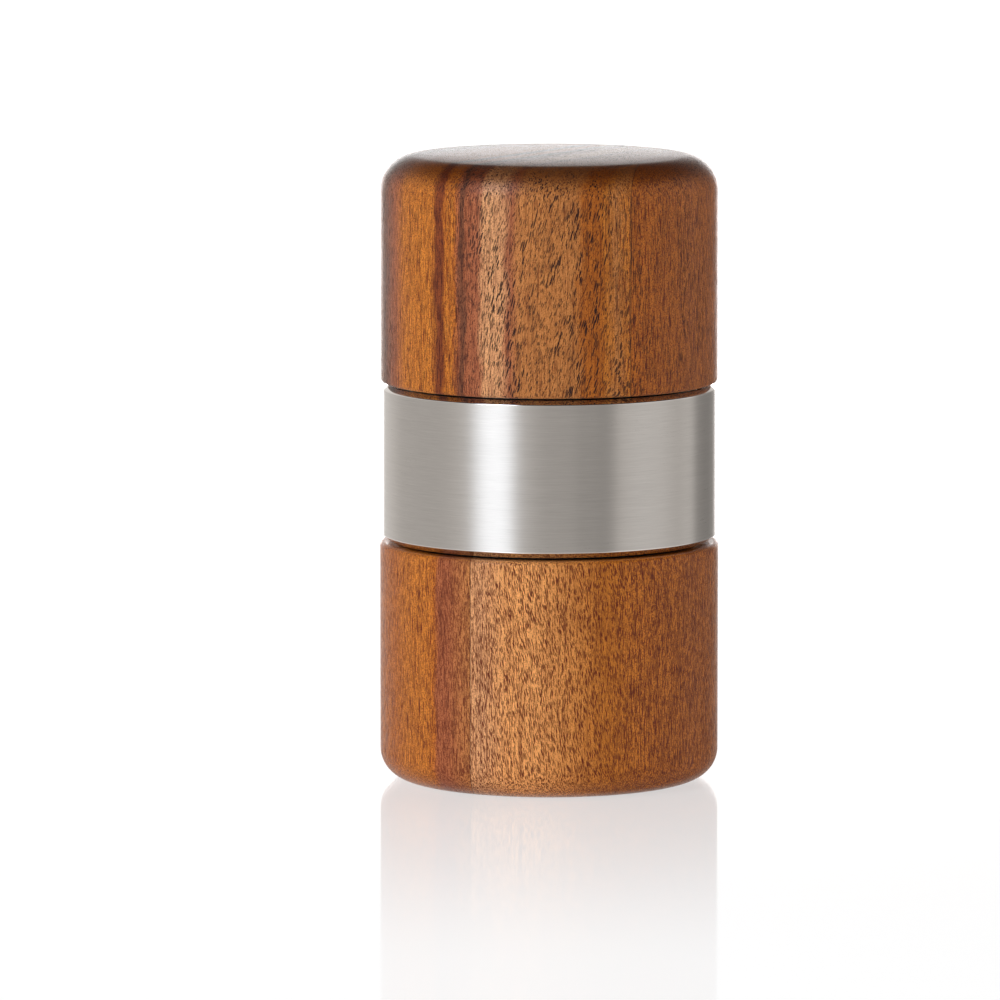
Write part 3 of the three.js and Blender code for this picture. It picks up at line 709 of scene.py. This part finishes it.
class MILL_OT_works(bpy.types.Operator):
    """Make the steel band, the core, the grater and what clamps it"""

    bl_idname = "mill.works"
    bl_label = "Works"

    def execute(self, context):
        self.band()
        self.core()
        self.grater()
        return {"FINISHED"}

    def band(self):
        """A sleeve brushed on its face, with polished roundings at both ends."""
        radius, low, high = span("steel_band")
        wall, rise, reach, bend, foot_rise = 1.2, 0.72, 0.92, 0.30, 0.90
        band = turned("band_steel", [
            (radius - wall, low, 0.1), (radius - reach, low, 0.06), (radius, low + foot_rise, bend),
            (radius, high - rise, bend), (radius - reach, high, 0.06), (radius - wall, high, 0.1),
        ], detail().turned, steps=16)
        band.data.materials.append(finish("brushed"))
        band.data.materials.append(finish("polished"))
        centres = np.zeros(len(band.data.polygons) * 3)
        band.data.polygons.foreach_get("center", centres)
        level = centres.reshape(-1, 3)[:, 2] / MM
        turn = bend * 0.4
        polished = (level < low + foot_rise + turn) | (level > high - rise - turn)
        band.data.polygons.foreach_set("material_index", polished.astype(np.int32))
        dress(band, "works", None, BAND, "steel_band")

    def core(self):
        """One moulding of outer wall, web, tube and the screw bosses under the web."""
        outer, low, high = span("works_core")
        bore, tube, chamber, ledge = outer - 1.4, 19.5, 17.6, outer - 2.8
        web_low, web_high, ledge_top, tube_low, tube_top = 47.4, 49.2, 61.0, 44.55, 58.4
        walls = turned("works_moulding", [
            (chamber, tube_low, 0.2), (tube, tube_low, 0.2), (tube, web_low, 0.4), (bore, web_low, 0.4),
            (bore, low, 0.25), (outer, low, 0.25), (outer, high, 0.3), (bore, high, 0.4),
            (bore, ledge_top, 0.15), (ledge, ledge_top, 0.2), (ledge, web_high, 0.5), (tube, web_high, 0.5),
            (tube, tube_top, 0.35), (chamber, tube_top, 0.5),
        ], detail().inner)
        boss, boss_circle, boss_top = 1.6, 20.7, web_low + 0.9
        bosses = [
            turned("boss", bar_section(boss, tube_low, boss_top, 0.1), detail().small, at=spot)
            for spot in round_places(boss_circle, 3)
        ]
        shaped(walls, bosses, "UNION")
        dress(walls, "works", "black", BLACK, "works_core")

    def grater(self):
        """A thin disc with three rings of punched holes with raised rims, and the ring that clamps it."""
        outer, low, high = span("grater_disc")
        sheet_top, tooth, lip, hole, sides = low + 0.6, 1.25, 0.95, 0.72, 14
        field, margin, row_pitch, tooth_pitch = 16.6, 1.2, 4.4, 5.2
        disc = turned("grater_sheet", bar_section(outer, low, sheet_top, 0.08), detail().inner, steps=2)
        spots = []
        for row in range(3):
            radius = field - margin - tooth - row * row_pitch
            spots.extend(round_places(radius, round(2 * math.pi * radius / tooth_pitch)))
        holes = [
            turned("hole", bar_section(hole, low - 1, high + 1, 0.05), sides, steps=1, at=spot)
            for spot in spots
        ]
        shaped(disc, [joined(holes)])
        bore = hole - 0.02
        teeth = [
            turned("tooth", [(bore, low + 0.15, 0.02), (tooth, low + 0.15, 0.02), (tooth, sheet_top, 0.05),
                             (lip, high, 0.04), (bore, high, 0.04)], sides, steps=2, at=spot)
            for spot in spots
        ]
        disc = joined([disc, *teeth])
        dress(disc, "works", "bright", BRIGHT, "grater_disc")

        ring_outer, ring_low, ring_high = span("grater_clamp_ring")
        ring_wide, screw_inset, screw_long = 6.0, 1.9, 4.6
        section = ring_section(ring_outer - ring_wide, ring_outer, ring_low, ring_high, 0.2)
        ring = turned("grater_clamp", section, detail().inner, steps=4)
        places = round_places(ring_outer - screw_inset, 3)
        shaped(ring, [screw_shape("sink", spot, ring_low - 0.01, ring_high + 1, 0.15, False)
                      for spot in places])
        dress(ring, "works", "bright", BRIGHT, "grater_clamp_ring")
        for number, spot in enumerate(places, 1):
            screw = screw_shape(f"clamp_screw_{number}", spot, ring_low, ring_low + screw_long, 0.0, True)
            dress(screw, "works", "bright", BRIGHT, f"grater_screw_{number}")


def screw_shape(name, spot, face, tip, play, recess):
    """A countersunk screw with its head down, or the hole for it, with a cross recess if asked."""
    head, shank, depth = 1.5 + play, 0.8 + play, 0.8
    body = turned(name, [(0, face, 0), (head, face, 0.08), (shank, face + depth, 0.1), (shank, tip, 0.15),
                         (0, tip, 0)], detail().small, steps=3, at=spot)
    if recess:
        cut_cross(body, spot, face)
    return body


def cut_cross(screw, spot, face):
    """Cuts the cross recess into a screw's head."""
    shaped(screw, [cross_bar("bar", spot, face, angle) for angle in (0.0, math.pi / 2)])


def cross_bar(name, spot, face, angle):
    """One bar of a cross recess: a box whose far end is narrower than its mouth."""
    long, wide, deep, above = 0.85, 0.16, 0.55, 0.2
    corner = np.array([[-1, -1], [1, -1], [1, 1], [-1, 1]]) * [long, wide]
    place = np.concatenate([np.insert(corner, 2, -above, axis=1),
                            np.insert(corner * [0.45, 0.8], 2, deep, axis=1)])
    cos, sin = math.cos(angle), math.sin(angle)
    turned_place = np.stack([place[:, 0] * cos - place[:, 1] * sin, place[:, 0] * sin + place[:, 1] * cos,
                             place[:, 2]], 1)
    faces = [[3, 2, 1, 0], [4, 5, 6, 7], [0, 1, 5, 4], [1, 2, 6, 5], [2, 3, 7, 6], [3, 0, 4, 7]]
    return add_mesh(name, turned_place + [spot[0], spot[1], face], faces)


class MILL_OT_bearing(bpy.types.Operator):
    """Make the bearing ring, its seal and the glide washer"""

    bl_idname = "mill.bearing"
    bl_label = "Bearing"

    def execute(self, context):
        outer, low, high = span("bearing_ring")
        bore, middle, groove, half = outer - 4.4, low + 3.1, outer - 1.7, 1.1
        ring = turned("bearing", [
            (bore, low, 0.4), (outer, low, 0.5), (outer, middle - half, 0.12),
            (groove, middle - half, 0.15), (groove, middle + half, 0.15), (outer, middle + half, 0.12),
            (outer, high, 0.4), (bore, high, 0.4),
        ], detail().inner)
        dress(ring, "bearing", "pale", PALE, "bearing_ring")
        seal_ring("head_seal_ring", "head_seal", "bearing")
        washer, bottom, top = span("glide_washer")
        bore = washer - 3.6
        disc = turned("glide_disc", ring_section(bore, washer, bottom, top, 0.1), detail().inner, steps=3)
        dress(disc, "bearing", "pale", PALE, "glide_washer")
        return {"FINISHED"}


class MILL_OT_head(bpy.types.Operator):
    """Make the wooden cap, the neck that turns in the bearing, the clip and the spring"""

    bl_idname = "mill.head"
    bl_label = "Head"

    def execute(self, context):
        radius, low, high = span("top_cap")
        bore, crown, top_round, seam_round = radius - 3.4, high - 5.4, 6.0, 0.65
        cap = turned("cap_wood", [
            (0, crown, 0), (bore, crown, 0.5), (bore, low, 0.3), (radius, low, seam_round),
            (radius, high, top_round), (0, high, 0),
        ], detail().turned, steps=14)
        dress(cap, "head", "cap", WOOD, "top_cap")
        self.neck()
        self.clip()
        self.spring()
        keep("cap_insert", "black")
        for name in ("neck_screw_1", "neck_screw_2", "neck_screw_3", "cap_screw_1", "cap_screw_2",
                     "cap_screw_3", "stop_pin_1", "stop_pin_2"):
            keep(name, "bright")
        return {"FINISHED"}

    def neck(self):
        """Flange and neck, with the clip's groove near the lower end."""
        flange, low, high = span("neck_ring")
        neck, bore, groove = 21.0, 18.9, 20.1
        clip_low, clip_high, flange_low = low + 1.2, low + 2.15, high - 1.8
        ring = turned("head_neck", [
            (bore, low, 0.5), (neck, low, 0.4), (neck, clip_low, 0.08), (groove, clip_low, 0.1),
            (groove, clip_high, 0.1), (neck, clip_high, 0.08), (neck, flange_low, 0.3),
            (flange, flange_low, 0.2), (flange, high, 0.2), (bore, high, 0.5),
        ], detail().inner)
        dress(ring, "head", "black", BLACK, "neck_ring")

    def clip(self):
        """An open ring of flat wire: a rounded section swept through most of a turn, its ends closed."""
        low, high = span("retaining_clip")[1:]
        gap, inner, outer, steps = 0.6, 20.2, 22.6, 120
        section = rounded(ring_section(inner, outer, low, high, 0.15), 4)[0]
        angles = np.linspace(gap / 2, 2 * math.pi - gap / 2, steps)
        cos, sin = np.cos(angles), np.sin(angles)
        count = len(section)
        place = np.stack([np.outer(cos, section[:, 0]), np.outer(sin, section[:, 0]),
                          np.repeat(section[None, :, 1], steps, 0)], -1).reshape(-1, 3)
        clip = add_mesh("neck_clip", place, tube_faces(steps, count, True))
        clip.data.set_sharp_from_angle(angle=math.radians(50))
        dress(clip, "head", "bright", BRIGHT, "retaining_clip")

    def spring(self):
        """A helix of round wire: closer turns at both ends, its wire's circle carried along it."""
        reach, low, high = span("presser_spring")
        wire, turns, closed_pitch, travel, around, sides = 0.4, 14, 1.3, 20.0, 40, 12
        radius = reach - wire
        steps = turns * around + 1
        turn = np.linspace(0, turns, steps)
        open_pitch = (high - low - 2 * wire - 2 * closed_pitch) / (turns - 2)
        bottom_turns, top_turns = np.minimum(turn, 1), np.maximum(turn - turns + 1, 0)
        level = low + wire + (bottom_turns + top_turns) * closed_pitch
        level = level + (turn - bottom_turns - top_turns) * open_pitch
        angle = turn * 2 * math.pi
        out = np.stack([np.cos(angle), np.sin(angle), np.zeros(steps)], 1)
        up = np.array([0, 0, 1.0])
        round_wire = np.arange(sides)[:, None] * 2 * math.pi / sides
        normal = out[:, None] * np.cos(round_wire) + up * np.sin(round_wire)
        place = ((out * radius + level[:, None] * up)[:, None] + normal * wire).reshape(-1, 3)
        spring = add_mesh("coil_spring", place, tube_faces(steps, sides, True))
        dress(spring, "head", "bright", BRIGHT, "presser_spring")
        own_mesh(spring)


class MILL_OT_presser(bpy.types.Operator):
    """Make the stem, the plate with its spikes and the screw that holds it"""

    bl_idname = "mill.presser"
    bl_label = "Presser"

    def execute(self, context):
        plate_radius, low, high = span("presser_plate")
        spike_circle, socket, sink, bore, spike, shank = 9.5, 1.1, 2.6, 1.4, 0.9, 1.2
        spike_top, socket_top, head_high = low + 2.2, low + 2.4, 1.6
        spots = round_places(spike_circle, 4, 0.5)
        plate = turned("spiked_plate", [(0, low, 0), (plate_radius, low, 0.6), (plate_radius, high, 0.8),
                                        (0, high, 0)], detail().inner)
        cuts = [cutter("socket", spot, low - 1, socket_top, socket) for spot in spots]
        cuts.append(cutter("sink", (0.0, 0.0), low - 1, low + 1.8, sink))
        cuts.append(cutter("bore", (0.0, 0.0), low - 1, high + 1, bore))
        shaped(plate, cuts)
        dress(plate, "presser", "pale", PALE, "presser_plate")
        for number, spot in enumerate(spots, 1):
            tip = span(f"presser_spike_{number}")[1]
            piece = turned(f"spike_{number}", [
                (0, tip, 0), (0.12, tip + 0.05, 0.08), (spike, tip + 1.8, 0.4), (spike, spike_top, 0.1),
                (0, spike_top, 0)], detail().small, at=spot)
            dress(piece, "presser", "bright", BRIGHT, f"presser_spike_{number}")
        head, face, tip = span("presser_screw")
        screw = turned("plate_screw", [(0, face, 0), (head, face, 0.3), (head, face + head_high, 0.1),
                                       (shank, face + head_high, 0.1), (shank, tip, 0.2), (0, tip, 0)],
                       detail().small)
        cut_cross(screw, (0.0, 0.0), face)
        dress(screw, "presser", "bright", BRIGHT, "presser_screw")
        self.stem()
        return {"FINISHED"}

    def stem(self):
        """Six-sided tube: radius = flat / cos(angle from the flat's middle), eased at the corners."""
        low, high = span("presser_stem")[1:]
        corner, eased, edge, bore, hole, floor = 7.1, 6.95, 0.3, 5.2, 1.4, 3.0
        flat, around = corner * math.cos(math.pi / 6), 180
        angles = np.arange(around) * 2 * math.pi / around
        off = (angles + math.pi / 6) % (math.pi / 3) - math.pi / 6
        radius = np.minimum(flat / np.cos(off), eased)
        levels = np.array([low, low, low + edge, high - edge, high, high])
        shares = np.array([0.0, 1 - edge / flat, 1.0, 1.0, 1 - edge / flat, 0.0])
        x, y = np.outer(shares, radius * np.cos(angles)), np.outer(shares, radius * np.sin(angles))
        rings = np.stack([x, y, np.repeat(levels[:, None], around, 1)], -1)[1:-1].reshape(-1, 3)
        stem = add_mesh("hex_stem", rings, tube_faces(4, around))
        slot_low, slot_high = low + 4.05, low + 25.95
        cuts = [cutter("bore", (0.0, 0.0), low + floor, high + 1, bore),
                cutter("hole", (0.0, 0.0), low - 1, low + floor + 1, hole),
                slot_tool("slot_right", 1.0, slot_low, slot_high),
                slot_tool("slot_left", -1.0, slot_low, slot_high)]
        shaped(stem, cuts)
        dress(stem, "presser", "pale", PALE, "presser_stem")


def slot_tool(name, side, low, high):
    """A long box with round ends that cuts the slot for a stop pin."""
    half, inside, outside, ends = 0.95, 4.9, 8.1, np.linspace(0, math.pi, 13)
    top = np.stack([half * np.cos(ends), high - half + half * np.sin(ends)], 1)
    bottom = np.stack([-half * np.cos(ends), low + half - half * np.sin(ends)], 1)
    outline = np.concatenate([top, bottom])
    place = np.concatenate([np.insert(outline, 0, depth, axis=1) for depth in (inside, outside)])
    return add_mesh(name, place * [side, side, 1], tube_faces(2, len(outline)))


def cutter(name, spot, low, high, radius, sides=48):
    """A plain upright bar that cuts a round hole."""
    return turned(name, bar_section(radius, low, high, 0.01), sides, steps=1, at=spot)


# Studio


def aimed(name, data, place, target):
    """A lamp or camera in its place, turned to the target."""
    piece = bpy.data.objects.new(name, data)
    bpy.context.scene.collection.objects.link(piece)
    piece.location = place
    piece.rotation_euler = (Vector(target) - piece.location).to_track_quat("-Z", "Y").to_euler()
    return piece


class MILL_OT_studio(bpy.types.Operator):
    """Make the pale floor, the soft lamps, the room's light and the camera"""

    bl_idname = "mill.studio"
    bl_label = "Studio"

    def execute(self, context):
        studio = settings()[2]
        self.camera(studio)
        self.floor()
        self.room(studio)
        self.lamp("key", azimuth=-37.5, distance=0.85, height=0.22, wide=0.35, tall=0.70, power=studio.key)
        self.lamp("fill", azimuth=106.0, distance=1.0, height=0.20, wide=0.8, tall=0.60, power=studio.fill)
        context.scene.view_settings.view_transform = "Standard"
        return {"FINISHED"}

    def camera(self, studio):
        lens = bpy.data.cameras.new("camera")
        lens.lens, lens.sensor_width, lens.clip_start, lens.clip_end = studio.lens, 36.0, 0.01, 100
        place, aim = (-studio.aside, -studio.distance, studio.height), (-studio.aside, 0, studio.aim)
        bpy.context.scene.camera = aimed("camera", lens, place, aim)

    def lamp(self, name, azimuth, distance, height, wide, tall, power):
        """A soft lamp round the mill: azimuth 0 is the camera's side, and positive is to the right."""
        light = bpy.data.lights.new(name, "AREA")
        light.shape, light.size, light.size_y, light.energy = "RECTANGLE", wide, tall, power
        angle = math.radians(azimuth)
        place = (math.sin(angle) * distance, -math.cos(angle) * distance, height)
        lamp = aimed(name, light, place, (0, 0, 0.06))
        lamp.visible_camera = lamp.visible_glossy = False

    def floor(self):
        """A wide pale sheet: white to the camera where nothing shades it, and a faint mirror."""
        reach, drop, glow_share, mirror, near_extra = 6000.0, -0.03, 0.62, 0.08, 0.26
        corners = ((-reach, -reach), (reach, -reach), (reach, reach), (-reach, reach))
        floor = add_mesh("floor", [(*corner, drop) for corner in corners], [(0, 1, 2, 3)])
        material, tree = new_finish("floor_pale")
        seen = tree.node("ShaderNodeLightPath", output="Is Camera Ray")
        matt = tree.surface("ShaderNodeBsdfDiffuse", Color=(0.93, 0.93, 0.93))
        glow = tree.surface("ShaderNodeEmission", Color=(1.0, 1.0, 1.0), Strength=1.35)
        base = tree.node("ShaderNodeMixShader", values={0: seen * glow_share, 1: matt, 2: glow})
        gloss = tree.surface("ShaderNodeBsdfGlossy", Color=(1.0, 1.0, 1.0), Roughness=0.05)
        x, y = tree.place()[:2]
        away = (x * x + y * y) ** 0.5
        polish = away.step(200.0, 20.0) * near_extra + mirror
        sheen = tree.node("ShaderNodeMixShader", values={0: seen * polish, 1: base, 2: gloss})
        back = tree.node("ShaderNodeNewGeometry", output="Backfacing")
        clear = tree.surface("ShaderNodeBsdfTransparent")
        tree.end(tree.node("ShaderNodeMixShader", values={0: back, 1: sheen, 2: clear}))
        floor.data.materials.append(material)
        floor.visible_glossy = False

    def room(self, studio):
        """Light by direction: white behind, a bright strip at the left front, grey sides, dark overhead.

        Stops are (azimuth, level). Azimuth 0 is the camera's side and positive is to the right. Dim stops
        are warmer than bright ones. A bright panel stands higher up at the left front, and a bright
        backdrop low down behind the mill.
        """
        world = bpy.data.worlds.new("room")
        bpy.context.scene.world = world
        tree = Tree(world)
        x, y, z = tree.parts(tree.node("ShaderNodeTexCoord", output="Generated"))
        azimuth = x.math("ARCTAN2", x, y * -1.0) * (180 / math.pi)
        stops = [
            (-180, 1.0), (-160, 0.76), (-150, 0.76), (-136, 0.70), (-125, 0.60), (-100, 0.59), (-80, 0.60),
            (-66, 0.69), (-58, 0.77), (-50, 1.30), (-44, 1.48), (-30, 1.43), (-22, 0.68), (-15, 0.66),
            (-4, 0.55), (17, 0.54), (21, 0.46), (31, 0.47), (37, 0.40), (44, 0.42), (49, 0.70), (66, 0.78),
            (84, 0.76), (100, 0.61), (116, 0.74), (123, 0.36), (134, 0.30), (146, 0.27), (155, 0.35),
            (166, 0.70), (180, 1.0),
        ]
        warm = [(place, level, min(max((1.1 - level) / 0.4, 0), 1)) for place, level in stops]
        around = tree.ramp(azimuth, -180.0, 180.0, [
            (place, (level, level * (1 - share * 0.065), level * (1 - share * 0.13)))
            for place, level, share in warm])
        lit = tree.mix(z.step(0.32, 0.56), around, (0.04, 0.04, 0.04))
        panel = azimuth.step(-58.0, -48.0) * azimuth.step(-20.0, -32.0)
        panel = panel * z.step(0.25, 0.35) * z.step(0.75, 0.62)
        lit = tree.mix(panel, lit, (4.4, 4.7, 5.2))
        backdrop = y.step(0.945, 0.985) * z.step(-0.16, -0.08) * z.step(0.17, 0.06)
        lit = tree.mix(backdrop, lit, (5.6, 5.45, 5.4))
        seen = tree.node("ShaderNodeLightPath", output="Is Camera Ray")
        shade = tree.mix(seen, lit, (1.0, 1.0, 1.0))
        strength = seen * (1.0 - studio.surround) + studio.surround
        glow = tree.node("ShaderNodeBackground", values={"Color": shade, "Strength": strength})
        tree.end(glow, "ShaderNodeOutputWorld")


class MILL_PT_panel(bpy.types.Panel):
    """Lists the mill's pieces and what can be changed on them"""

    bl_idname = "MILL_PT_panel"
    bl_label = "Spice Mill"
    bl_space_type = "VIEW_3D"
    bl_region_type = "UI"
    bl_category = "Mill"

    def draw(self, context):
        for operator in STEPS:
            self.layout.operator(operator.bl_idname)
        for group in GROUPS:
            held = getattr(context.scene, group)
            for name in held.bl_rna.properties.keys():
                if name not in ("name", "rna_type"):
                    self.layout.prop(held, name)


STEPS = (MILL_OT_cup, MILL_OT_works, MILL_OT_bearing, MILL_OT_head, MILL_OT_presser, MILL_OT_studio)
GROUPS = {"mill_wood": MillWood, "mill_steel": MillSteel, "mill_studio": MillStudio,
          "mill_detail": MillDetail}


def register():
    for part in (*GROUPS.values(), *STEPS, MILL_PT_panel):
        bpy.utils.register_class(part)
    for name, group in GROUPS.items():
        setattr(bpy.types.Scene, name, PointerProperty(type=group))


def unregister():
    for name in GROUPS:
        delattr(bpy.types.Scene, name)
    for part in reversed((*GROUPS.values(), *STEPS, MILL_PT_panel)):
        bpy.utils.unregister_class(part)


def main():
    register()
    bpy.ops.mill.cup()
    bpy.ops.mill.works()
    bpy.ops.mill.bearing()
    bpy.ops.mill.head()
    bpy.ops.mill.presser()
    bpy.ops.mill.studio()


if __name__ == "__main__":
    main()
